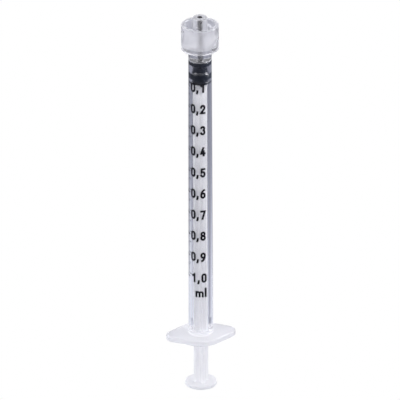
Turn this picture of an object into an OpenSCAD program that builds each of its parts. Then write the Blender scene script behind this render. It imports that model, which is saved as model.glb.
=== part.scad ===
// One-millilitre syringe with a Luer-lock tip.
// It stands on its thumb disc: the origin is the centre of the disc's outer face, and +Z points to the nozzle.
// The stopper is fully home, so the reading is zero. All lengths are in millimetres.

/* [Scale] */
// Volume at the last graduation line, in millilitres
capacity_ml = 1; // [0.5:0.1:1]
// Volume between two neighbouring graduation lines, in millilitres
step_ml = 0.01; // [0.01:0.01:0.05]
// Width of a printed line along the barrel
line_w = 0.2; // [0.1:0.05:0.3]
// Thickness of the printed ink
ink_t = 0.02; // [0.01:0.01:0.05]

/* [Barrel] */
// Diameter of the bore
bore_d = 4.5; // [4.3:0.05:5]
// Outside diameter of the barrel at the nozzle end
barrel_d = 6.24; // [6:0.02:7]
// How much wider the barrel is at the finger flange
barrel_draft = 0.42; // [0:0.02:0.6]
// Bore left behind the last graduation line, as far as the open end
tail_length = 19.2; // [16:0.1:30]
// Solid end wall between the bore and the floor of the lock collar
end_wall = 4.25; // [3:0.25:6]
// Radial step of the bead that keeps the stopper in
bead_step = 0.12; // [0.05:0.01:0.2]
// Travel of the stopper past the last graduation line
overrun = 6.5; // [4:0.5:8]

/* [Finger flange] */
// Length of the finger flange, tip to tip
flange_length = 19; // [16:0.5:26]
// Angle between the flange's straight sides and its length
flange_slope = 34; // [20:1:45]
// Radius of the flange's two rounded tips
flange_tip_r = 2.3; // [1.5:0.1:3]
// Thickness of the finger flange
flange_t = 1.7; // [1:0.1:2.5]

/* [Nozzle and lock collar] */
// Diameter of the nozzle cone at its tip
nozzle_tip_d = 3.95; // [3.925:0.005:3.99]
// How far the nozzle stands out of the lock collar
nozzle_reach = 2.1; // [2.1:0.1:4]
// Diameter of the channel through the nozzle
channel_d = 1.3; // [1:0.1:1.6]
// Outside diameter of the lock collar
collar_d = 10.1; // [9.6:0.1:11]
// Depth of the lock collar, from its rim to its floor
collar_depth = 6.1; // [5.4:0.1:8]
// Thickness of the lock collar's floor
collar_floor = 1.05; // [0.8:0.05:1.5]
// Diameter at the root of the collar's thread
thread_root_d = 8; // [7.9:0.1:8.1]
// Diameter at the crest of the collar's thread
thread_crest_d = 7; // [6.9:0.1:7.1]
// Lead of the two-start thread
thread_lead = 5; // [4.5:0.5:5.5]

/* [Stopper] */
// Length of the stopper
stopper_length = 6.6; // [6:0.1:8]
// How far the stopper's front face lies past the zero line
front_lead = 0.8; // [0.3:0.1:1]
// Diameter of the stopper's waist
waist_d = 3.9; // [3.6:0.1:4.1]
// Height of the front sealing ring, with its bevelled edge
front_ring_h = 1.7; // [1:0.05:1.9]
// Height of the rear sealing ring
rear_ring_h = 1.45; // [0.8:0.05:1.6]
// Height of the thin lip round the stopper's rear face
lip_h = 0.65; // [0.3:0.05:0.8]
// Width of the groove between the lip and the rear sealing ring
groove_h = 0.65; // [0.3:0.05:0.8]

/* [Plunger rod] */
// Width of the rod across its ribs
rod_w = 3.94; // [3.4:0.02:4]
// Thickness of a rib
rib_t = 1.25; // [0.8:0.05:1.4]
// Turn of the ribs about the axis, away from the length of the flange
rod_turn = 12; // [0:1:45]
// Diameter of the thumb disc
disc_d = 8.6; // [8:0.1:12]
// Thickness of the thumb disc
disc_t = 1; // [0.8:0.1:2]
// Gap between the thumb disc and the barrel with the stopper home
rod_gap = 13; // [8:0.5:20]

/* [Hidden] */
$fn = 96;

// Clearance between the stopper's rings and the bore, and between the rod's head and its cavity
seal_gap = 0.02;
head_gap = 0.05;
// A little overlap that makes joined shapes one solid
bite = 0.1;
// Growth in the nozzle's diameter per millimetre of length, which is fixed for every Luer cone
nozzle_taper = 0.06;

// Heights along the axis
mm_per_ml = 1000 / (PI * pow(bore_d / 2, 2));
open_end_z = disc_t + rod_gap;
flange_top_z = open_end_z + flange_t;
full_z = open_end_z + tail_length;
zero_z = full_z + capacity_ml * mm_per_ml;
stopper_front_z = zero_z + front_lead;
stopper_rear_z = stopper_front_z - stopper_length;
bore_end_z = stopper_front_z + head_gap;
collar_floor_z = bore_end_z + end_wall;
collar_base_z = collar_floor_z - collar_floor;
collar_rim_z = collar_floor_z + collar_depth;
nozzle_tip_z = collar_rim_z + nozzle_reach;

// Travel of the stopper from home to the retaining bead, and the middle height of that bead
travel = capacity_ml * mm_per_ml + overrun;
bead_h = 0.8;
bead_z = stopper_rear_z - travel - head_gap - bead_h / 2;

// Outside radius of the tapered barrel at a height
function barrel_r(z) =
    barrel_d / 2 + barrel_draft / 2 * (collar_base_z - z) / (collar_base_z - open_end_z);

// A disc with a chamfer round its upper and lower edges
module chamfered_disc(d, h, edge) {
    translate([0, 0, edge]) cylinder(d = d, h = h - 2 * edge);
    cylinder(d1 = d - 2 * edge, d2 = d, h = edge);
    translate([0, 0, h - edge]) cylinder(d1 = d, d2 = d - 2 * edge, h = edge);
}

// ---------- Barrel ----------

// Plan of the finger flange: a round middle, two round tips and straight sides between them.
// The sides lie a hair inside the tangents, so that they cross the round parts cleanly.
module flange_plan() {
    hair = 0.01;
    tip_x = flange_length / 2 - flange_tip_r;
    middle_r = flange_tip_r + tip_x * sin(flange_slope);
    side_x = (middle_r - hair) * sin(flange_slope);
    side_y = (middle_r - hair) * cos(flange_slope);
    end_x = tip_x + (flange_tip_r - hair) * sin(flange_slope);
    end_y = (flange_tip_r - hair) * cos(flange_slope);
    circle(r = middle_r);
    for (side = [-1, 1]) translate([side * tip_x, 0]) circle(r = flange_tip_r);
    polygon([
        [side_x, side_y], [end_x, end_y], [end_x, -end_y], [side_x, -side_y],
        [-side_x, -side_y], [-end_x, -end_y], [-end_x, end_y], [-side_x, side_y]
    ]);
}

// Thread ridge: a trapezium swept along a helix, with its root sunk a little into the collar's wall.
// It grows out of the wall over the first few steps and sinks back over the last few.
thread_starts = [161, 341];
thread_steps = 40;
thread_turns = 0.88;
fade_steps = 5;
fade_least = 0.2;
ridge_root_h = 1.05;
ridge_crest_h = 0.45;
ridge_lift = 0.75;
ridge_start_z = collar_floor_z + ridge_lift;

function ridge_section(r_crest, r_root) = [
    [r_root, -ridge_root_h / 2],
    [r_crest, -ridge_crest_h / 2],
    [r_crest, ridge_crest_h / 2],
    [r_root, ridge_root_h / 2]
];

function ridge_points(start) = [
    for (i = [0 : thread_steps])
        let (
            turned = 360 * thread_turns * i / thread_steps,
            fade = min(1, min(i, thread_steps - i) / fade_steps + fade_least),
            r_root = thread_root_d / 2 + bite,
            r_crest = thread_root_d / 2 - fade * (thread_root_d - thread_crest_d) / 2,
            z = ridge_start_z + thread_lead * turned / 360
        )
        for (p = ridge_section(r_crest, r_root))
            [p[0] * cos(start + turned), p[0] * sin(start + turned), z + p[1]]
];

module thread_ridge(start) {
    corners = 4;
    last = corners * thread_steps;
    sides = [
        for (i = [0 : thread_steps - 1], k = [0 : corners - 1])
            let (a = corners * i + k, b = corners * i + (k + 1) % corners)
            [a + corners, b + corners, b, a]
    ];
    polyhedron(
        points = ridge_points(start),
        faces = concat([[0, 1, 2, 3]], sides, [[last + 3, last + 2, last + 1, last]]),
        convexity = 4
    );
}

module lock_collar() {
    edge = 0.2;
    difference() {
        translate([0, 0, collar_base_z]) chamfered_disc(collar_d, collar_floor + collar_depth, edge);
        translate([0, 0, collar_floor_z]) cylinder(d = thread_root_d, h = collar_depth + 1);
    }
    for (start = thread_starts) thread_ridge(start);
}

module nozzle() {
    tip_edge = 0.15;
    cone_h = nozzle_tip_z - collar_floor_z - tip_edge;
    tip_d = nozzle_tip_d + nozzle_taper * tip_edge;
    translate([0, 0, collar_floor_z - bite])
        cylinder(d1 = tip_d + nozzle_taper * (cone_h + bite), d2 = tip_d, h = cone_h + bite);
    translate([0, 0, nozzle_tip_z - tip_edge])
        cylinder(d1 = tip_d, d2 = tip_d - 2 * tip_edge, h = tip_edge);
}

module bore() {
    mouth = 0.4;
    bead_d = bore_d - 2 * bead_step;
    // Stretch between the end wall and the bead
    translate([0, 0, bead_z + bead_h / 2]) cylinder(d = bore_d, h = bore_end_z - bead_z - bead_h / 2);
    // The bead narrows the bore by two short cones
    translate([0, 0, bead_z]) cylinder(d1 = bead_d, d2 = bore_d, h = bead_h / 2);
    translate([0, 0, bead_z - bead_h / 2]) cylinder(d1 = bore_d, d2 = bead_d, h = bead_h / 2);
    // Stretch between the bead and the open end, with a lead-in
    translate([0, 0, open_end_z - bite]) cylinder(d = bore_d, h = bead_z - bead_h / 2 - open_end_z + bite);
    translate([0, 0, open_end_z - bite])
        cylinder(d1 = bore_d + 2 * (mouth + bite), d2 = bore_d, h = mouth + bite);
}

module barrel() {
    color([0.86, 0.87, 0.93, 0.5])
    difference() {
        union() {
            translate([0, 0, open_end_z])
                cylinder(r1 = barrel_r(open_end_z), r2 = barrel_r(collar_base_z), h = collar_base_z - open_end_z);
            translate([0, 0, open_end_z]) linear_extrude(flange_t) flange_plan();
            lock_collar();
            nozzle();
        }
        bore();
        translate([0, 0, bore_end_z - 1]) cylinder(d = channel_d, h = nozzle_tip_z - bore_end_z + 2);
    }
}

// ---------- Printed scale ----------

// Length of a graduation line round the barrel, in degrees: longest at each tenth, middling at each twentieth
function line_sweep(i) = i % 10 == 0 ? 118 : i % 5 == 0 ? 86 : 68;
// Every line starts at the back of the barrel and runs towards the numerals, which are on the front
scale_start_angle = 84;

module graduation_line(i) {
    z = zero_z - i * step_ml * mm_per_ml;
    low_r = barrel_r(z - line_w / 2);
    high_r = barrel_r(z + line_w / 2);
    rotate([0, 0, scale_start_angle])
        rotate_extrude(angle = line_sweep(i))
            polygon([
                [low_r, z - line_w / 2],
                [low_r + ink_t, z - line_w / 2],
                [high_r + ink_t, z + line_w / 2],
                [high_r, z + line_w / 2]
            ]);
}

module graduation_lines() {
    color([0.08, 0.08, 0.09])
    for (i = [0 : round(capacity_ml / step_ml)]) graduation_line(i);
}

// ---------- Stopper ----------

// The cavity that the rod's head snaps into, measured from the stopper's rear face
cavity_mouth_d = 1.9;
cavity_mouth_h = 1.1;
cavity_d = 2.9;
cavity_h = 1.9;

module stopper() {
    front_edge = 0.3;
    ring_d = bore_d - 2 * seal_gap;
    rear_ring_z = stopper_rear_z + lip_h + groove_h;
    front_ring_z = stopper_front_z - front_ring_h;
    color([0.12, 0.12, 0.15])
    difference() {
        union() {
            translate([0, 0, stopper_rear_z]) cylinder(d = waist_d, h = stopper_length - bite);
            translate([0, 0, stopper_rear_z]) cylinder(d = ring_d, h = lip_h);
            translate([0, 0, rear_ring_z]) cylinder(d = ring_d, h = rear_ring_h);
            translate([0, 0, front_ring_z]) cylinder(d = ring_d, h = front_ring_h - front_edge);
            translate([0, 0, stopper_front_z - front_edge])
                cylinder(d1 = ring_d, d2 = ring_d - 2 * front_edge, h = front_edge);
        }
        translate([0, 0, stopper_rear_z - 1]) cylinder(d = cavity_mouth_d, h = cavity_mouth_h + 1 + bite);
        translate([0, 0, stopper_rear_z + cavity_mouth_h]) cylinder(d = cavity_d, h = cavity_h);
    }
}

// ---------- Plunger rod ----------

module plunger_rod() {
    disc_edge = 0.2;
    guide_h = 0.8;
    guide_d = 4;
    guide_top_z = stopper_rear_z - head_gap;
    neck_d = cavity_mouth_d - 2 * head_gap;
    head_d = cavity_d - 2 * head_gap;
    head_z = stopper_rear_z + cavity_mouth_h + head_gap;
    head_h = cavity_h - 2 * head_gap;
    stem_h = guide_top_z - guide_h / 2 - disc_t / 2;
    color([0.86, 0.87, 0.93, 0.6])
    rotate([0, 0, rod_turn]) {
        chamfered_disc(disc_d, disc_t, disc_edge);
        // Two crossing ribs, trimmed to a round outline
        translate([0, 0, disc_t / 2])
            linear_extrude(stem_h)
                intersection() {
                    union() {
                        square([rod_w + 1, rib_t], center = true);
                        square([rib_t, rod_w + 1], center = true);
                    }
                    circle(d = rod_w);
                }
        // Guide disc that pushes on the stopper's rear face
        translate([0, 0, guide_top_z - guide_h]) cylinder(d = guide_d, h = guide_h);
        // Neck and snap head
        translate([0, 0, guide_top_z - bite]) cylinder(d = neck_d, h = head_z - guide_top_z + 2 * bite);
        translate([0, 0, head_z]) cylinder(d = head_d, h = head_h / 2);
        translate([0, 0, head_z + head_h / 2]) cylinder(d1 = head_d, d2 = neck_d, h = head_h / 2);
    }
}

barrel();
graduation_lines();
stopper();
plunger_rod();
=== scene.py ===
"""Looks of a one-millilitre Luer-lock syringe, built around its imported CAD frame.

Units are metres unless a heading says millimetres, and +Z points towards the nozzle.
"""

import math

import bpy
from mathutils import Matrix, Vector


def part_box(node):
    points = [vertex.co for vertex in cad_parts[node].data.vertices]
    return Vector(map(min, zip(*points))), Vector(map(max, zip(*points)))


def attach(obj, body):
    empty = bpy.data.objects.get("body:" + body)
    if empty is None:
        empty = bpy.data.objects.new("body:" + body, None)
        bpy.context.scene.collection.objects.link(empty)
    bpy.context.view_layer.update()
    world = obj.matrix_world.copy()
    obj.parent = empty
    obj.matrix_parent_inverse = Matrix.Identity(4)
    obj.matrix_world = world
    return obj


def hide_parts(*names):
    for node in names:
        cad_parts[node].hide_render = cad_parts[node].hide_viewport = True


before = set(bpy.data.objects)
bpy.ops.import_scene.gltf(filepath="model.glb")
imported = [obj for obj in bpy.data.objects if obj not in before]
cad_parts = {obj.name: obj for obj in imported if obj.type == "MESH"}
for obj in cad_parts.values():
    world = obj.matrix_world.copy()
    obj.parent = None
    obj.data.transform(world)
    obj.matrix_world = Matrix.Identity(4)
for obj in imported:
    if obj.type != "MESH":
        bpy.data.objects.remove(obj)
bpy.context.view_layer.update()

MM = 0.001

# ---------- Levels and radii taken from the frame, in millimetres ----------


def box_mm(node):
    """A node's lowest and highest corners, in millimetres."""
    low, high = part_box(node)
    return [c / MM for c in low], [c / MM for c in high]


BARREL_LOW, BARREL_HIGH = box_mm("barrel")
LINES_LOW, LINES_HIGH = box_mm("graduation_lines")
STOPPER_LOW, STOPPER_HIGH = box_mm("stopper")
ROD_HIGH = box_mm("plunger_rod")[1]

# Clearance round the stopper and in front of it, and half of a printed line's height
SEAL_GAP = 0.02
HOME_GAP = 0.05
HALF_LINE = 0.1

OPEN_END_Z = BARREL_LOW[2]
NOZZLE_TIP_Z = BARREL_HIGH[2]
FLANGE_HALF_LENGTH = BARREL_HIGH[0]
FLANGE_HALF_WIDTH = BARREL_HIGH[1]
ZERO_Z = LINES_HIGH[2] - HALF_LINE
FULL_Z = LINES_LOW[2] + HALF_LINE
STOPPER_REAR_Z = STOPPER_LOW[2]
STOPPER_FRONT_Z = STOPPER_HIGH[2]
DISC_R = ROD_HIGH[0]
BORE_R = STOPPER_HIGH[0] + SEAL_GAP
BORE_END_Z = STOPPER_FRONT_Z + HOME_GAP

# ---------- Sizes that the frame's boxes don't give, in millimetres ----------

# Finger flange: thickness, radius of its tips and rounding of its edge
FLANGE_T = 1.7
FLANGE_TIP_R = 2.3
FLANGE_EDGE = 0.5

# End wall and lock collar
END_WALL = 4.25
COLLAR_R = 5.05
COLLAR_FLOOR = 1.05
COLLAR_DEPTH = 6.1

# Two-start thread in the collar; its starts are in degrees, its length and its fade in turns
THREAD_ROOT_R = 4.0
THREAD_DEPTH = 0.5
THREAD_LEAD = 5.0
THREAD_TURNS = 0.88
THREAD_STARTS = (161.0, 341.0)
THREAD_FADE = 0.08
THREAD_FIRST_Z = 0.75
THREAD_HALF_H = 0.58
THREAD_FLANK = 0.4

# Luer nozzle; its taper is the growth in radius per millimetre
NOZZLE_TIP_R = 1.975
NOZZLE_TAPER = 0.03
CHANNEL_R = 0.65

# Tube: radius under the collar, growth down to the open end, and the flare of its mouth
TUBE_TOP_R = 3.12
TUBE_DRAFT = 0.21
MOUTH_FLARE = 0.4

# Retaining bead: its step in the CAD, the part of that drawn, half its span, its drop below the stop
BEAD_STEP = 0.12
BEAD_DRAWN = 0.4
BEAD_HALF_SPAN = 1.4
BEAD_DROP = 0.45
TRAVEL = 69.376

# Stopper: press of its rings and its front face on the barrel, its radii, and levels behind its front face
RING_PRESS = 0.012
FACE_PRESS = 0.01
WAIST_R = 2.0
GROOVE_R = WAIST_R + 0.14
FLARE_STEP = 0.06
FRONT_RING_END = 1.2
FRONT_FLARE_RING, FRONT_FLARE_WAIST = 1.3, 2.1
REAR_FLARE_WAIST, REAR_FLARE_RING = 2.65, 3.5
REAR_RING_EASE, REAR_RING_START, REAR_RING_END = 3.57, 3.65, 5.25
GROOVE_START = 5.4

# Stopper: levels above its rear face, and the radii of the cavity for the rod's head
LIP_START, LIP_END, LIP_EDGE = 0.72, 0.55, 0.08
MOUTH_R, CAVITY_R = 0.95, 1.45
MOUTH_H, CAVITY_TOP = 1.1, 3.0

# Plunger rod; the blend is how widely the ribs round into each other
DISC_T = 1.0
ROD_R = 1.97
RIB_T = 1.25
RIB_BLEND = 0.9
RIB_CORNER = 0.15
ROD_TURN = 12.0
GUIDE_R = 2.0
GUIDE_T = 0.8

# Snap head: radii, and levels above the stopper's rear face
NECK_R, HEAD_R, HEAD_TIP_R = 0.9, 1.4, 0.85
HEAD_BASE, HEAD_SHOULDER, HEAD_TOP = 1.15, 2.05, 2.95

# Segments round each turned piece
BARREL_SEGMENTS = 240
STOPPER_SEGMENTS = 160
ROD_SEGMENTS = 288

COLLAR_FLOOR_Z = BORE_END_Z + END_WALL
COLLAR_BASE_Z = COLLAR_FLOOR_Z - COLLAR_FLOOR
COLLAR_RIM_Z = COLLAR_FLOOR_Z + COLLAR_DEPTH
FLANGE_TOP_Z = OPEN_END_Z + FLANGE_T
BEAD_Z = STOPPER_REAR_Z - TRAVEL - BEAD_DROP

# How clear each stretch of the barrel is; the rest of the light is scattered, as in milky plastic
CLEAR_TUBE = 0.998
CLEAR_FLANGE = 0.4
CLEAR_COLLAR = 0.88
CLEAR_COLLAR_BASE = 0.6
CLEAR_NOZZLE = 0.88
CLEAR_TIP = 0.6
CLEAR_END_WALL = 0.95

# Camera at the photograph's angle: degrees, then metres, then the lens and sensor in millimetres
CAMERA_AZIMUTH = -10.97
CAMERA_ELEVATION = 25.84
CAMERA_ROLL = -0.18
CAMERA_DISTANCE = 4.0
CAMERA_TARGET_Z = 0.05506
CAMERA_SHIFT = 0.000128
CAMERA_LENS = 1338.3
CAMERA_SENSOR = 36
FACING = 270 + CAMERA_AZIMUTH

# Studio, in metres
FLOOR_Z = -0.075
FLOOR_HALF = 3.0
LAMP_DISTANCE = 0.8
LAMP_TARGET_Z = 0.06


def tube_radius(z):
    """Outside radius of the tapered barrel at a height."""
    return TUBE_TOP_R + TUBE_DRAFT * (COLLAR_BASE_Z - z) / (COLLAR_BASE_Z - OPEN_END_Z)


# ---------- Mesh helpers ----------


def make_object(name, verts_mm, faces, sharp_degrees=40):
    """An object from points in millimetres, smooth but for edges sharper than the angle."""
    mesh = bpy.data.meshes.new(name)
    mesh.from_pydata([Vector(v) * MM for v in verts_mm], [], faces)
    mesh.validate()
    mesh.shade_smooth()
    mesh.set_sharp_from_angle(angle=math.radians(sharp_degrees))
    obj = bpy.data.objects.new(name, mesh)
    bpy.context.collection.objects.link(obj)
    return obj


def turned(rings, segments, start_cap=False, end_cap=False, closed=False):
    """Points and faces of a form turned about Z. A ring maps an angle in degrees to (radius, z)."""
    angles = [360 * k / segments for k in range(segments)]
    verts = []
    for ring in rings:
        for angle in angles:
            radius, z = ring(angle)
            turn = math.radians(angle)
            verts.append((radius * math.cos(turn), radius * math.sin(turn), z))
    faces = []
    count = len(rings)
    for i in range(count if closed else count - 1):
        low, high = i * segments, ((i + 1) % count) * segments
        for k in range(segments):
            n = (k + 1) % segments
            faces.append((low + k, high + k, high + n, low + n))
    if start_cap:
        verts.append((0, 0, rings[0](0)[1]))
        faces += [(len(verts) - 1, k, (k + 1) % segments) for k in range(segments)]
    if end_cap:
        base = (count - 1) * segments
        verts.append((0, 0, rings[-1](0)[1]))
        faces += [(len(verts) - 1, base + (k + 1) % segments, base + k) for k in range(segments)]
    return verts, faces


def rounded(corners, support=0.04, step=18.0):
    """A profile through (r, z, fillet) corners, each fillet an arc with a point held just outside it."""
    out = []
    for i, (r, z, fillet) in enumerate(corners):
        if fillet <= 0 or i in (0, len(corners) - 1):
            out.append((r, z))
            continue
        here = Vector((r, z))
        back = Vector(corners[i - 1][:2]) - here
        ahead = Vector(corners[i + 1][:2]) - here
        reach = 0.45 * min(back.length, ahead.length)
        back.normalize()
        ahead.normalize()
        half = back.angle(ahead) / 2
        if half > math.radians(89):
            out.append((r, z))
            continue
        tangent = min(fillet / math.tan(half), reach)
        radius = tangent * math.tan(half)
        centre = here + (back + ahead).normalized() * (radius / math.sin(half))
        first, last = here + back * tangent - centre, here + ahead * tangent - centre
        sweep = math.atan2(first.x * last.y - first.y * last.x, first.dot(last))
        steps = max(2, math.ceil(math.degrees(abs(sweep)) / step))
        if tangent + support < reach / 0.45 * 0.5:
            held = here + back * (tangent + support)
            out.append((held.x, held.y))
        for s in range(steps + 1):
            t = sweep * s / steps
            out.append((
                centre.x + first.x * math.cos(t) - first.y * math.sin(t),
                centre.y + first.x * math.sin(t) + first.y * math.cos(t),
            ))
        if tangent + support < reach / 0.45 * 0.5:
            held = here + ahead * (tangent + support)
            out.append((held.x, held.y))
    return out


def round_rings(points):
    """Round rings from (radius, z) points."""
    return [lambda angle, r=r, z=z: (r, z) for r, z in points]


# ---------- Barrel ----------


def flange_radius(angle, inset=0.0):
    """Distance from the axis to the flange's outline, a round middle with two round tips, less an inset."""
    tip_x = FLANGE_HALF_LENGTH - FLANGE_TIP_R
    turn = math.radians(angle)
    x, y = abs(math.cos(turn)), abs(math.sin(turn))
    slope = math.asin((FLANGE_HALF_WIDTH - FLANGE_TIP_R) / tip_x)
    middle_r, tip_r = FLANGE_HALF_WIDTH - inset, FLANGE_TIP_R - inset
    side = middle_r / (x * math.sin(slope) + y * math.cos(slope))
    if math.atan2(y, x) >= math.pi / 2 - slope:
        return middle_r
    touch = Vector((tip_x + tip_r * math.sin(slope), tip_r * math.cos(slope)))
    if math.atan2(y, x) >= math.atan2(touch.y, touch.x):
        return side
    along = tip_x * x
    return along + math.sqrt(along * along - tip_x * tip_x + tip_r * tip_r)


def smooth_step(t):
    """An eased climb from 0 to 1."""
    t = min(max(t, 0.0), 1.0)
    return t * t * (3 - 2 * t)


def thread_rise(angle, z):
    """How far the two-start thread stands in from the collar's wall at a place."""
    rise = 0.0
    for start in THREAD_STARTS:
        turn = ((angle - start) % 360) / 360
        if turn > THREAD_TURNS:
            continue
        fade = smooth_step(min(turn, THREAD_TURNS - turn) / THREAD_FADE)
        centre_z = COLLAR_FLOOR_Z + THREAD_FIRST_Z + THREAD_LEAD * turn
        flank = smooth_step((THREAD_HALF_H - abs(z - centre_z)) / THREAD_FLANK)
        rise = max(rise, fade * THREAD_DEPTH * flank)
    return rise


def barrel_rings():
    """The moulding's skin: up the bore, through the nozzle, over the collar and down the outside."""
    inside = rounded([
        (BORE_R + 1.2, OPEN_END_Z, 0),
        (BORE_R + MOUTH_FLARE, OPEN_END_Z, 0.1),
        (BORE_R, OPEN_END_Z + MOUTH_FLARE, 0.3),
        (BORE_R, BEAD_Z - BEAD_HALF_SPAN, 2.0),
        (BORE_R - BEAD_STEP * BEAD_DRAWN, BEAD_Z, 4.0),
        (BORE_R, BEAD_Z + BEAD_HALF_SPAN, 2.0),
        (BORE_R, BORE_END_Z, 0.12),
        (CHANNEL_R, BORE_END_Z, 0.1),
        (CHANNEL_R, NOZZLE_TIP_Z, 0.08),
        (NOZZLE_TIP_R, NOZZLE_TIP_Z, 0.22),
        (NOZZLE_TIP_R + NOZZLE_TAPER * (NOZZLE_TIP_Z - COLLAR_FLOOR_Z), COLLAR_FLOOR_Z, 0.25),
        (THREAD_ROOT_R, COLLAR_FLOOR_Z, 0.2),
        (THREAD_ROOT_R, COLLAR_FLOOR_Z + 0.5, 0),
    ])
    wall_steps = 60
    low, high = COLLAR_FLOOR_Z + 0.22, COLLAR_RIM_Z - 0.25
    wall = [low + (high - low) * s / wall_steps for s in range(wall_steps + 1)]
    outside = rounded([
        (THREAD_ROOT_R, COLLAR_RIM_Z - 0.5, 0),
        (THREAD_ROOT_R, COLLAR_RIM_Z, 0.15),
        (COLLAR_R, COLLAR_RIM_Z, 0.25),
        (COLLAR_R, COLLAR_BASE_Z, 0.3),
        (tube_radius(COLLAR_BASE_Z), COLLAR_BASE_Z, 0.15),
        (tube_radius(FLANGE_TOP_Z), FLANGE_TOP_Z, 0.3),
        (tube_radius(FLANGE_TOP_Z) + 1.0, FLANGE_TOP_Z, 0),
    ])
    edge = rounded([
        (2.0, FLANGE_TOP_Z, 0), (0.0, FLANGE_TOP_Z, FLANGE_EDGE),
        (0.0, OPEN_END_Z, FLANGE_EDGE), (2.0, OPEN_END_Z, 0),
    ])
    rings = round_rings(inside[:-1])
    rings += [lambda angle, z=z: (THREAD_ROOT_R - thread_rise(angle, z), z) for z in wall]
    rings += round_rings(outside[1:])
    rings += [lambda angle, i=i, z=z: (flange_radius(angle, i), z) for i, z in edge[1:-1]]
    return rings


def build_barrel():
    """The barrel moulding, with its nozzle, lock collar and flange."""
    verts, faces = turned(barrel_rings(), BARREL_SEGMENTS, closed=True)
    return make_object("barrel_moulding", verts, faces)


# ---------- Printed numerals ----------

# Sizes in millimetres; turns are in degrees round the barrel
CAP_H = 2.17
DIGIT_W = 0.96
STROKE = 0.56
INK_T = 0.012
PAIR_GAP = 1.40
COMMA = [(-0.05, 0.22), (-0.08, -0.15), (-0.17, -0.45)]
NUMERAL_TURN = -12.7
LAST_NUMERAL_TURN = 4.5
UNIT_DROP = 5.45
M_HEIGHT, M_PITCH, M_BOW_H = 1.30, 0.86, 0.45
M_LEFT, L_RIGHT, L_EXTRA = 0.33, 1.36, 0.05
SAME_POINT = 1e-6
LEAST_MITRE = 0.5


def arc(cx, cy, rx, ry, start, end, steps=14):
    """Points of an elliptical arc, in a glyph's unit box, between two angles in degrees."""
    out = []
    for s in range(steps + 1):
        t = math.radians(start + (end - start) * s / steps)
        out.append((cx + rx * math.cos(t), cy + ry * math.sin(t)))
    return out


def half_turned(strokes):
    """A glyph turned half round in its box."""
    return [[(1 - x, 1 - y) for x, y in stroke] for stroke in strokes]


def six():
    """The strokes of a 6, which half turned are those of a 9."""
    stem = arc(1.02, 0.30, 1.0, 0.74, 103, 176, 10)
    return [stem, arc(0.5, 0.29, 0.5, 0.29, 0, 360, 32)]


GLYPHS = {
    "0": [arc(0.5, 0.74, 0.5, 0.26, 0, 180) + arc(0.5, 0.26, 0.5, 0.26, 180, 360) + [(1.0, 0.74)]],
    "1": [[(0.12, 0.80), (0.62, 1.0), (0.62, 0.0)]],
    "2": [arc(0.5, 0.72, 0.47, 0.28, 170, -30) + [(0.0, 0.0), (1.0, 0.0)]],
    "3": [arc(0.47, 0.77, 0.44, 0.23, 155, -90) + arc(0.47, 0.27, 0.5, 0.27, 90, -155)],
    "4": [[(0.62, 1.0), (0.0, 0.25), (1.0, 0.25)], [(0.72, 0.56), (0.72, 0.0)]],
    "5": [[(0.92, 1.0), (0.16, 1.0), (0.10, 0.53)] + arc(0.46, 0.31, 0.52, 0.31, 118, -150)],
    "6": six(),
    "7": [[(0.0, 1.0), (1.0, 1.0), (0.36, 0.0)]],
    "8": [arc(0.5, 0.765, 0.43, 0.235, 0, 360, 32), arc(0.5, 0.265, 0.5, 0.265, 0, 360, 32)],
    "9": half_turned(six()),
}


def letter_m(x_height, pitch):
    """The strokes of an m, in millimetres, with its middle stem on the origin."""
    bow = pitch / 2
    strokes = [[(-pitch, 0), (-pitch, x_height)]]
    for left in (-pitch, 0.0):
        top = [(left + bow - bow * math.cos(t), x_height - M_BOW_H + M_BOW_H * math.sin(t))
               for t in [math.pi * s / 12 for s in range(13)]]
        strokes.append(top + [(left + pitch, 0)])
    return strokes


def ribbon_outline(points, width):
    """A left and a right side of a stroke of even width, with mitred bends."""
    closed = (Vector(points[0]) - Vector(points[-1])).length < SAME_POINT
    path = [Vector(p) for p in (points[:-1] if closed else points)]
    count = len(path)
    sides = []
    for i, here in enumerate(path):
        before = path[i - 1] if (closed or i) else here
        after = path[(i + 1) % count] if (closed or i < count - 1) else here
        into = (here - before).normalized() if before != here else (after - here).normalized()
        out = (after - here).normalized() if after != here else into
        normal = Vector((-(into.y + out.y), into.x + out.x)).normalized()
        spread = max(normal.dot(Vector((-into.y, into.x))), LEAST_MITRE)
        sides.append((here + normal * width / 2 / spread, here - normal * width / 2 / spread))
    return sides, closed


def lengthened(points, extra):
    """The same path with its open ends drawn out a little, as square caps; a closed path is unchanged."""
    path = [Vector(p) for p in points]
    if (path[0] - path[-1]).length < SAME_POINT:
        return points
    path[0] += (path[0] - path[1]).normalized() * extra
    path[-1] += (path[-1] - path[-2]).normalized() * extra
    return [tuple(p) for p in path]


def dense(points, gap=0.12):
    """The same path with points close enough to bend round the barrel."""
    out = [points[0]]
    for a, b in zip(points, points[1:]):
        steps = max(1, math.ceil((Vector(b) - Vector(a)).length / gap))
        for s in range(1, steps + 1):
            out.append((a[0] + (b[0] - a[0]) * s / steps, a[1] + (b[1] - a[1]) * s / steps))
    return out


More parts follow.
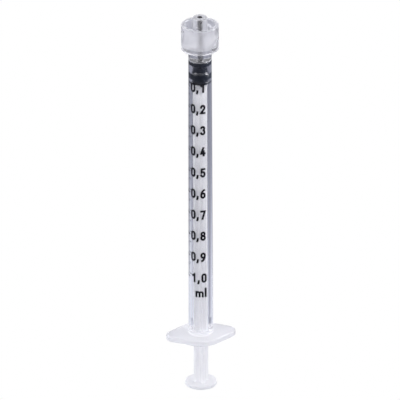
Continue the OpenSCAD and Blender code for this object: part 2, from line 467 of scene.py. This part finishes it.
def print_stroke(verts, faces, points, width, centre_z, centre_angle):
    """Adds one inked stroke, laid on the barrel. Points are millimetres across and up from the centre."""
    sides, closed = ribbon_outline(dense(lengthened(points, width / 2)), width)
    base = len(verts)
    for left, right in sides:
        for lift in (0.0, INK_T):
            for p in (left, right):
                z = centre_z + p.y
                radius = tube_radius(z) + lift
                angle = math.radians(centre_angle) + p.x / tube_radius(centre_z)
                verts.append((radius * math.cos(angle), radius * math.sin(angle), z))
    count = len(sides)
    for i in range(count if closed else count - 1):
        a, b = base + 4 * i, base + 4 * ((i + 1) % count)
        for p, q in ((0, 1), (1, 3), (3, 2), (2, 0)):
            faces.append((a + p, a + q, b + q, b + p))
    if not closed:
        end = base + 4 * (count - 1)
        faces.append((base, base + 2, base + 3, base + 1))
        faces.append((end, end + 1, end + 3, end + 2))


def build_numerals():
    """Numerals beside each tenth of the scale, with the unit below the last."""
    verts, faces = [], []
    tenths = 10
    for tenth in range(1, tenths + 1):
        z = ZERO_Z + (FULL_Z - ZERO_Z) * tenth / tenths
        whole, part = divmod(tenth, tenths)
        middle = FACING + NUMERAL_TURN + LAST_NUMERAL_TURN * whole
        for digit, across in ((whole, -PAIR_GAP), (part, PAIR_GAP)):
            for stroke in GLYPHS[str(digit)]:
                points = [(across + (x - 0.5) * DIGIT_W, (y - 0.5) * CAP_H) for x, y in stroke]
                print_stroke(verts, faces, points, STROKE, z, middle)
        comma = [(x, y - CAP_H / 2) for x, y in COMMA]
        print_stroke(verts, faces, comma, STROKE, z, middle)
    unit_z = FULL_Z - UNIT_DROP
    for stroke in letter_m(M_HEIGHT, M_PITCH):
        print_stroke(verts, faces, [(x - M_LEFT, y) for x, y in stroke], STROKE, unit_z, FACING)
    print_stroke(verts, faces, [(L_RIGHT, 0), (L_RIGHT, CAP_H + L_EXTRA)], STROKE, unit_z, FACING)
    return make_object("scale_numerals", verts, faces)


# ---------- Stopper ----------


def flare(waist_r, ring_r, z_waist, z_ring, steps=8):
    """A hollow arc from the waist out to a ring, upright at the waist."""
    rise = z_ring - z_waist
    turn = 2 * math.atan((ring_r - waist_r) / abs(rise))
    bend = abs(rise) / math.sin(turn)
    out = []
    for s in range(steps + 1):
        t = turn * s / steps
        out.append((waist_r + bend * (1 - math.cos(t)), z_waist + math.copysign(bend * math.sin(t), rise)))
    return out


def build_stopper():
    """The stopper: two rings flared from a waist, a thin rear lip and the cavity for the rod's head."""
    seal_r = BORE_R + RING_PRESS
    front, rear, face = STOPPER_FRONT_Z, STOPPER_REAR_Z, BORE_END_Z + FACE_PRESS
    flare_r = seal_r - FLARE_STEP
    points = rounded([
        (0.05, face, 0),
        (BORE_R - 0.25, face, 0.1),
        (seal_r, front - 0.22, 0.15),
        (seal_r, front - FRONT_RING_END, 0),
    ])
    points += flare(WAIST_R, flare_r, front - FRONT_FLARE_WAIST, front - FRONT_FLARE_RING)[::-1]
    points += flare(WAIST_R, flare_r, front - REAR_FLARE_WAIST, front - REAR_FLARE_RING)
    points += rounded([
        (seal_r - 0.01, front - REAR_RING_EASE, 0),
        (seal_r, front - REAR_RING_START, 0),
        (seal_r, front - REAR_RING_END, 0.25),
        (GROOVE_R, front - GROOVE_START, 0.08),
        (GROOVE_R, rear + LIP_START, 0.08),
        (seal_r, rear + LIP_END, 0.15),
        (seal_r, rear + LIP_EDGE, 0.12),
        (seal_r - 0.12, rear, 0.08),
        (MOUTH_R, rear, 0.15),
        (MOUTH_R, rear + MOUTH_H, 0.1),
        (CAVITY_R, rear + MOUTH_H, 0.1),
        (CAVITY_R, rear + CAVITY_TOP, 0.3),
        (0.05, rear + CAVITY_TOP, 0),
    ])
    verts, faces = turned(round_rings(points), STOPPER_SEGMENTS, start_cap=True, end_cap=True)
    return make_object("stopper_rubber", verts, faces)


# ---------- Plunger rod ----------


def cross_distance(x, y):
    """Signed distance to the rod's section: two crossed ribs, blended and trimmed to a circle."""
    half, corner = RIB_T / 2, RIB_CORNER
    one, two = abs(x) - half, abs(y) - half
    blend = max(RIB_BLEND - abs(one - two), 0.0) / RIB_BLEND
    ribs = min(one, two) - blend * blend * RIB_BLEND / 4
    rim = math.hypot(x, y) - ROD_R
    if ribs > -corner and rim > -corner:
        return math.hypot(ribs + corner, rim + corner) - corner
    return max(ribs, rim)


def cross_radius(angle, grow=0.0):
    """Distance from the axis to the rod's outline at an angle, grown by an offset."""
    turn = math.radians(angle - ROD_TURN)
    low, high = 0.3, ROD_R + grow + 0.5
    for _ in range(26):
        middle = (low + high) / 2
        if cross_distance(middle * math.cos(turn), middle * math.sin(turn)) < grow:
            low = middle
        else:
            high = middle
    return low


def build_rod():
    """The plunger rod: thumb disc, cross-ribbed stem, guide disc, neck and snap head in one skin."""
    guide_top = STOPPER_REAR_Z - HOME_GAP
    guide_base = guide_top - GUIDE_T
    disc = rounded([
        (0.2, 0, 0), (DISC_R, 0, 0.3), (DISC_R, DISC_T, 0.25), (ROD_R + 1.0, DISC_T, 0),
    ])
    head = rounded([
        (GUIDE_R - 0.6, guide_base, 0),
        (GUIDE_R, guide_base, 0.15),
        (GUIDE_R, guide_top, 0.15),
        (NECK_R, guide_top, 0.1),
        (NECK_R, STOPPER_REAR_Z + HEAD_BASE, 0.08),
        (HEAD_R, STOPPER_REAR_Z + HEAD_BASE, 0.12),
        (HEAD_R, STOPPER_REAR_Z + HEAD_SHOULDER, 0.2),
        (HEAD_TIP_R, STOPPER_REAR_Z + HEAD_TOP, 0.2),
        (0.1, STOPPER_REAR_Z + HEAD_TOP, 0),
    ])
    # How far the ribs spread, at heights above the disc
    foot = [(0.30, 0.0), (0.15, 0.04), (0.04, 0.15), (0.0, 0.30)]
    stem_levels = (20.0, 50.0, guide_base - 0.1)
    rings = round_rings(disc)
    rings += [lambda angle, g=g, z=DISC_T + h: (cross_radius(angle, g), z) for g, h in foot]
    rings += [lambda angle, z=z: (cross_radius(angle), z) for z in stem_levels]
    rings += [lambda angle: (cross_radius(angle) - 0.02, guide_base)]
    rings += round_rings([(r, z) for r, z in head if r > ROD_R - 0.3 or z > guide_base])
    verts, faces = turned(rings, ROD_SEGMENTS, start_cap=True, end_cap=True)
    return make_object("plunger_rod_moulding", verts, faces, 50)


# ---------- Materials ----------


def new_material(name):
    """A material, its node tree and its Principled shader."""
    material = bpy.data.materials.new(name)
    material.use_nodes = True
    tree = material.node_tree
    return material, tree, tree.nodes["Principled BSDF"]


def noise(tree, scale, detail=3.0, stretch=(1, 1, 1)):
    """A noise texture in the object's own coordinates; scale is in features per metre."""
    place = tree.nodes.new("ShaderNodeTexCoord")
    mapping = tree.nodes.new("ShaderNodeMapping")
    mapping.inputs["Scale"].default_value = stretch
    texture = tree.nodes.new("ShaderNodeTexNoise")
    texture.inputs["Scale"].default_value = scale
    texture.inputs["Detail"].default_value = detail
    tree.links.new(place.outputs["Object"], mapping.inputs["Vector"])
    tree.links.new(mapping.outputs["Vector"], texture.inputs["Vector"])
    return texture


def ramp(tree, source, low, high, start=0.3, end=0.7):
    """A colour ramp between two colours or greys, fed by a factor."""
    node = tree.nodes.new("ShaderNodeValToRGB")
    node.color_ramp.elements[0].position = start
    node.color_ramp.elements[1].position = end
    node.color_ramp.elements[0].color = (*low, 1) if isinstance(low, tuple) else (low, low, low, 1)
    node.color_ramp.elements[1].color = (*high, 1) if isinstance(high, tuple) else (high, high, high, 1)
    tree.links.new(source.outputs["Fac"], node.inputs["Fac"])
    return node


def bump(tree, shader, source, strength, distance):
    """Fine relief on a shader, fed by a noise; the distance is in metres."""
    node = tree.nodes.new("ShaderNodeBump")
    node.inputs["Strength"].default_value = strength
    node.inputs["Distance"].default_value = distance
    tree.links.new(source.outputs["Fac"], node.inputs["Height"])
    tree.links.new(node.outputs["Normal"], shader.inputs["Normal"])


def height_map(tree, low_mm, high_mm, stops):
    """A ramp along the syringe's axis between two heights; stops are (fraction, grey), lowest first."""
    place = tree.nodes.new("ShaderNodeTexCoord")
    split = tree.nodes.new("ShaderNodeSeparateXYZ")
    level = tree.nodes.new("ShaderNodeMapRange")
    level.inputs["From Min"].default_value = low_mm * MM
    level.inputs["From Max"].default_value = high_mm * MM
    node = tree.nodes.new("ShaderNodeValToRGB")
    elements = node.color_ramp.elements
    elements[0].position, elements[1].position = stops[0][0], stops[-1][0]
    for fraction, _ in stops[1:-1]:
        elements.new(fraction)
    for element, (_, value) in zip(elements, sorted(stops)):
        element.color = (value, value, value, 1)
    tree.links.new(place.outputs["Object"], split.inputs["Vector"])
    tree.links.new(split.outputs["Z"], level.inputs["Value"])
    tree.links.new(level.outputs["Result"], node.inputs["Fac"])
    return node


def colour_mix(tree):
    """A colour mix node with its two colour inputs and its output; other sockets share their names."""
    node = tree.nodes.new("ShaderNodeMix")
    node.data_type = "RGBA"
    colours = [s for s in node.inputs if s.type == "RGBA"]
    first, second = [[s for s in colours if s.name == name][0] for name in ("A", "B")]
    result = [s for s in node.outputs if s.type == "RGBA"][0]
    return node, first, second, result


def clear_plastic():
    """Clear moulded plastic, milkier where it is thick, with a faint cool tint and shallow flow lines, and
    painted shade on the wall of the nozzle's channel.
    """
    material, tree, shader = new_material("clear_moulded_plastic")
    span = NOZZLE_TIP_Z - OPEN_END_Z

    def at(z):
        return (z - OPEN_END_Z) / span

    clarity = height_map(tree, OPEN_END_Z, NOZZLE_TIP_Z, [
        (at(FLANGE_TOP_Z + 0.2), CLEAR_FLANGE), (at(FLANGE_TOP_Z + 1.5), CLEAR_TUBE),
        (at(BORE_END_Z), CLEAR_TUBE),
        (at(BORE_END_Z + 0.3), CLEAR_END_WALL), (at(COLLAR_BASE_Z - 0.2), CLEAR_END_WALL),
        (at(COLLAR_BASE_Z + 0.2), CLEAR_COLLAR_BASE), (at(COLLAR_FLOOR_Z + 1), CLEAR_COLLAR),
        (at(COLLAR_RIM_Z), CLEAR_COLLAR), (at(COLLAR_RIM_Z + 0.4), CLEAR_NOZZLE),
        (at(NOZZLE_TIP_Z - 0.3), CLEAR_NOZZLE), (at(NOZZLE_TIP_Z - 0.1), CLEAR_TIP),
    ])
    shader.inputs["Transmission Weight"].default_value = CLEAR_TUBE
    tree.links.new(clarity.outputs["Color"], shader.inputs["Transmission Weight"])
    shader.inputs["IOR"].default_value = 1.49
    tint = ramp(tree, noise(tree, 260), (0.985, 0.985, 0.995), (0.995, 0.995, 1.0))
    # Painted shade: the base colour is darkened on the wall of the nozzle's channel, darkest in the nozzle
    # and lighter down at the end wall, so that the bore reads dark as it looks through the collar
    place = tree.nodes.new("ShaderNodeTexCoord")
    flatten = tree.nodes.new("ShaderNodeVectorMath")
    flatten.operation = "MULTIPLY"
    flatten.inputs[1].default_value = (1, 1, 0)
    off_axis = tree.nodes.new("ShaderNodeVectorMath")
    off_axis.operation = "LENGTH"
    # Mask for the painted shade: the channel's wall, found by distance from the axis
    channel = tree.nodes.new("ShaderNodeMapRange")
    channel.inputs["From Min"].default_value = CHANNEL_R * 1.02 * MM
    channel.inputs["From Max"].default_value = CHANNEL_R * 1.15 * MM
    shade, shade_a, shade_b, shade_out = colour_mix(tree)
    # How dark the painted shade in the channel is, by height: lighter at the end wall, near black in the
    # nozzle
    channel_shade_by_height = height_map(tree, COLLAR_BASE_Z, COLLAR_RIM_Z, [(0.0, 0.28), (0.15, 0.02)])
    tree.links.new(channel_shade_by_height.outputs["Color"], shade_a)
    tree.links.new(place.outputs["Object"], flatten.inputs[0])
    tree.links.new(flatten.outputs["Vector"], off_axis.inputs[0])
    tree.links.new(off_axis.outputs["Value"], channel.inputs["Value"])
    tree.links.new(channel.outputs["Result"], shade.inputs["Factor"])
    tree.links.new(tint.outputs["Color"], shade_b)
    tree.links.new(shade_out, shader.inputs["Base Color"])
    frost = height_map(tree, OPEN_END_Z, NOZZLE_TIP_Z, [
        (at(FLANGE_TOP_Z), 0.12), (at(FLANGE_TOP_Z + 1.0), 0.05),
        (at(COLLAR_BASE_Z - 1), 0.05), (at(COLLAR_FLOOR_Z), 0.3),
    ])
    haze = ramp(tree, noise(tree, 420, 4), 0.85, 1.15)
    grain = tree.nodes.new("ShaderNodeMath")
    grain.operation = "MULTIPLY"
    tree.links.new(frost.outputs["Color"], grain.inputs[0])
    tree.links.new(haze.outputs["Color"], grain.inputs[1])
    tree.links.new(grain.outputs["Value"], shader.inputs["Roughness"])
    bump(tree, shader, noise(tree, 300, 2, (1, 1, 0.12)), 0.05, 0.0002)
    # Shadow rays pass, so that the lamps reach the stopper and the rod inside
    path = tree.nodes.new("ShaderNodeLightPath")
    see_through = tree.nodes.new("ShaderNodeBsdfTransparent")
    see_through.inputs["Color"].default_value = (0.85, 0.85, 0.87, 1)
    either = tree.nodes.new("ShaderNodeMixShader")
    out = tree.nodes["Material Output"]
    tree.links.new(path.outputs["Is Shadow Ray"], either.inputs["Fac"])
    tree.links.new(shader.outputs["BSDF"], either.inputs[1])
    tree.links.new(see_through.outputs["BSDF"], either.inputs[2])
    tree.links.new(either.outputs["Shader"], out.inputs["Surface"])
    return material


def translucent_plastic():
    """The rod's milky translucent plastic."""
    material, tree, shader = new_material("translucent_rod_plastic")
    shader.inputs["Transmission Weight"].default_value = 0.15
    shader.inputs["IOR"].default_value = 1.4
    shader.inputs["Subsurface Weight"].default_value = 1.0
    shader.inputs["Subsurface Radius"].default_value = (0.002, 0.002, 0.002)
    shader.inputs["Subsurface Scale"].default_value = 1.0
    tint = ramp(tree, noise(tree, 500, 4), (0.93, 0.93, 0.96), (0.98, 0.98, 0.99))
    tree.links.new(tint.outputs["Color"], shader.inputs["Base Color"])
    haze = ramp(tree, noise(tree, 900, 5), 0.3, 0.42)
    tree.links.new(haze.outputs["Color"], shader.inputs["Roughness"])
    bump(tree, shader, noise(tree, 700, 3, (1, 1, 0.2)), 0.1, 0.0002)
    return material


def black_rubber():
    """Black moulded rubber under a thin film of silicone oil."""
    material, tree, shader = new_material("black_rubber")
    tint = ramp(tree, noise(tree, 1800, 5), (0.0006, 0.0009, 0.0015), (0.0020, 0.0026, 0.0040))
    tree.links.new(tint.outputs["Color"], shader.inputs["Base Color"])
    wear = ramp(tree, noise(tree, 1200, 4), 0.2, 0.3)
    tree.links.new(wear.outputs["Color"], shader.inputs["Roughness"])
    shader.inputs["Coat Weight"].default_value = 0.8
    shader.inputs["Coat Roughness"].default_value = 0.06
    shader.inputs["Specular IOR Level"].default_value = 0.02
    bump(tree, shader, noise(tree, 2600, 5), 0.05, 0.0001)
    return material


def scale_ink():
    """Black screen-printed ink, a little uneven in density and gloss."""
    material, tree, shader = new_material("scale_ink")
    tint = ramp(tree, noise(tree, 2400, 4), (0.004, 0.004, 0.006), (0.016, 0.015, 0.02))
    tree.links.new(tint.outputs["Color"], shader.inputs["Base Color"])
    shader.inputs["Specular IOR Level"].default_value = 0.15
    gloss = ramp(tree, noise(tree, 1500, 3), 0.35, 0.55)
    tree.links.new(gloss.outputs["Color"], shader.inputs["Roughness"])
    bump(tree, shader, noise(tree, 3000, 3), 0.1, 0.00005)
    return material


# ---------- Studio ----------


def direction(azimuth, elevation):
    """The unit vector towards an azimuth, counted from -Y, and an elevation, in degrees."""
    a, e = math.radians(azimuth), math.radians(elevation)
    return Vector((math.sin(a) * math.cos(e), -math.cos(a) * math.cos(e), math.sin(e)))


def make_camera():
    """A long lens at the photographed angle, aimed a little above the middle of the syringe."""
    a, roll = math.radians(CAMERA_AZIMUTH), math.radians(CAMERA_ROLL)
    back = direction(CAMERA_AZIMUTH, CAMERA_ELEVATION)
    level = Vector((math.cos(a), math.sin(a), 0))
    rise = back.cross(level)
    right = level * math.cos(roll) + rise * math.sin(roll)
    up = rise * math.cos(roll) - level * math.sin(roll)
    target = Vector((0, 0, CAMERA_TARGET_Z)) - level * CAMERA_SHIFT
    data = bpy.data.cameras.new("camera")
    data.lens = CAMERA_LENS
    data.sensor_width = CAMERA_SENSOR
    data.clip_start, data.clip_end = 0.1, 20
    camera = bpy.data.objects.new("camera", data)
    place = Matrix((right, up, back)).transposed().to_4x4()
    place.translation = target + back * CAMERA_DISTANCE
    camera.matrix_world = place
    bpy.context.collection.objects.link(camera)
    bpy.context.scene.camera = camera


# The floor's painted pool of light, which its own glow gives off: its brightest place as the camera sees it,
# its reach, and colours by part of that reach
GLOW_RIGHT, GLOW_BEHIND, GLOW_REACH = -0.03, 0.10, 0.40
FLOOR_PAINTED_LIGHT = [
    (0.28, (0.76, 0.78, 0.88)), (0.36, (0.62, 0.64, 0.73)), (0.43, (0.42, 0.43, 0.52)),
    (0.51, (0.30, 0.31, 0.38)), (0.75, (0.26, 0.27, 0.33)), (0.95, (0.09, 0.09, 0.12)),
]


def make_floor(level):
    """A wide pale floor that glows with a painted pool of light, brightest behind the syringe. It is pure
    white where the camera sees it directly.
    """
    mesh = bpy.data.meshes.new("floor")
    corners = [(x * FLOOR_HALF, y * FLOOR_HALF, level) for x, y in ((-1, -1), (1, -1), (1, 1), (-1, 1))]
    mesh.from_pydata(corners, [], [(0, 1, 2, 3)])
    floor = bpy.data.objects.new("floor", mesh)
    bpy.context.collection.objects.link(floor)
    material = bpy.data.materials.new("floor")
    material.use_nodes = True
    tree = material.node_tree
    tree.nodes.clear()
    out = tree.nodes.new("ShaderNodeOutputMaterial")
    glow = tree.nodes.new("ShaderNodeEmission")
    place = tree.nodes.new("ShaderNodeNewGeometry")
    mapping = tree.nodes.new("ShaderNodeMapping")
    mapping.vector_type = "TEXTURE"
    turn = math.radians(CAMERA_AZIMUTH)
    mapping.inputs["Location"].default_value = (
        GLOW_RIGHT * math.cos(turn) - GLOW_BEHIND * math.sin(turn),
        GLOW_RIGHT * math.sin(turn) + GLOW_BEHIND * math.cos(turn),
        0,
    )
    mapping.inputs["Rotation"].default_value = (0, 0, turn)
    mapping.inputs["Scale"].default_value = (GLOW_REACH, GLOW_REACH, 100)
    length = tree.nodes.new("ShaderNodeVectorMath")
    length.operation = "LENGTH"
    # The painted pool of light on the floor, fading from bright near its middle to dark far off
    fall = tree.nodes.new("ShaderNodeValToRGB")
    for fraction, _ in FLOOR_PAINTED_LIGHT[1:-1]:
        fall.color_ramp.elements.new(fraction)
    for element, (fraction, glow_colour) in zip(fall.color_ramp.elements, FLOOR_PAINTED_LIGHT):
        element.position = fraction
        element.color = (*glow_colour, 1)
    path = tree.nodes.new("ShaderNodeLightPath")
    seen, seen_a, seen_b, seen_out = colour_mix(tree)
    seen_b.default_value = (1, 1, 1, 1)
    clear = tree.nodes.new("ShaderNodeBsdfTransparent")
    side = tree.nodes.new("ShaderNodeMixShader")
    tree.links.new(place.outputs["Position"], mapping.inputs["Vector"])
    tree.links.new(mapping.outputs["Vector"], length.inputs[0])
    tree.links.new(length.outputs["Value"], fall.inputs["Fac"])
    tree.links.new(path.outputs["Is Camera Ray"], seen.inputs["Factor"])
    tree.links.new(fall.outputs["Color"], seen_a)
    tree.links.new(seen_out, glow.inputs["Color"])
    tree.links.new(place.outputs["Backfacing"], side.inputs["Fac"])
    tree.links.new(glow.outputs["Emission"], side.inputs[1])
    tree.links.new(clear.outputs["BSDF"], side.inputs[2])
    tree.links.new(side.outputs["Shader"], out.inputs["Surface"])
    mesh.materials.append(material)


# The room's light by height above the horizon, as parts of the way straight up
SKY = [(0.15, (1.8, 1.8, 1.86)), (0.55, (0.6, 0.6, 0.65)), (0.9, (0.25, 0.25, 0.30))]


def make_world():
    """Soft room light: white to the camera, a cool grey to everything that the plastic bends or reflects."""
    world = bpy.data.worlds.new("world")
    bpy.context.scene.world = world
    world.use_nodes = True
    tree = world.node_tree
    background = tree.nodes["Background"]
    path = tree.nodes.new("ShaderNodeLightPath")
    seen, seen_a, seen_b, seen_out = colour_mix(tree)
    seen_b.default_value = (1, 1, 1, 1)
    place = tree.nodes.new("ShaderNodeTexCoord")
    split = tree.nodes.new("ShaderNodeSeparateXYZ")
    sky = tree.nodes.new("ShaderNodeValToRGB")
    sky.color_ramp.elements.new(SKY[1][0])
    for element, (fraction, sky_colour) in zip(sky.color_ramp.elements, SKY):
        element.position = fraction
        element.color = (*sky_colour, 1)
    tree.links.new(place.outputs["Generated"], split.inputs["Vector"])
    tree.links.new(split.outputs["Z"], sky.inputs["Fac"])
    tree.links.new(sky.outputs["Color"], seen_a)
    tree.links.new(path.outputs["Is Camera Ray"], seen.inputs["Factor"])
    tree.links.new(seen_out, background.inputs["Color"])


def softbox(name, turn, elevation, width, height, power, only=None):
    """An area light on the syringe, turned in degrees to the camera's right. It may light one piece only."""
    back = direction(CAMERA_AZIMUTH + turn, elevation)
    data = bpy.data.lights.new(name, "AREA")
    data.shape = "RECTANGLE"
    data.size, data.size_y = width, height
    data.energy = power
    light = bpy.data.objects.new(name, data)
    light.location = Vector((0, 0, LAMP_TARGET_Z)) + back * LAMP_DISTANCE
    light.rotation_mode = "QUATERNION"
    light.rotation_quaternion = (-back).to_track_quat("-Z", "Y")
    light.visible_camera = False
    light.visible_transmission = False
    bpy.context.collection.objects.link(light)
    if only:
        lit = bpy.data.collections.new(name)
        lit.objects.link(only)
        light.light_linking.receiver_collection = lit


# ---------- Assembly ----------

make_camera()

barrel = build_barrel()
numerals = build_numerals()
stopper = build_stopper()
rod = build_rod()

ink = scale_ink()
looks = ((barrel, clear_plastic()), (numerals, ink), (stopper, black_rubber()), (rod, translucent_plastic()))
for piece, material in looks:
    piece.data.materials.append(material)
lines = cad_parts["graduation_lines"]
for material_slot in lines.material_slots:
    material_slot.material = ink

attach(barrel, "barrel")
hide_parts("barrel")
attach(numerals, "barrel")
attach(stopper, "stopper")
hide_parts("stopper")
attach(rod, "plunger")
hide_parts("plunger_rod")

make_floor(FLOOR_Z)
make_world()
softbox("left_softbox", turn=-63, elevation=30, width=0.12, height=0.2, power=1.2)
softbox("left_glint", turn=-60, elevation=8, width=0.2, height=0.25, power=40, only=stopper)
softbox("right_glint", turn=90, elevation=6, width=0.2, height=0.35, power=130, only=stopper)
softbox("right_softbox", turn=93, elevation=26, width=0.07, height=0.3, power=1.7)

scene = bpy.context.scene
scene.view_settings.view_transform = "Standard"
scene.cycles.max_bounces = 40
scene.cycles.diffuse_bounces = 16
scene.cycles.transmission_bounces = 24
scene.cycles.glossy_bounces = 24
scene.cycles.transparent_max_bounces = 12
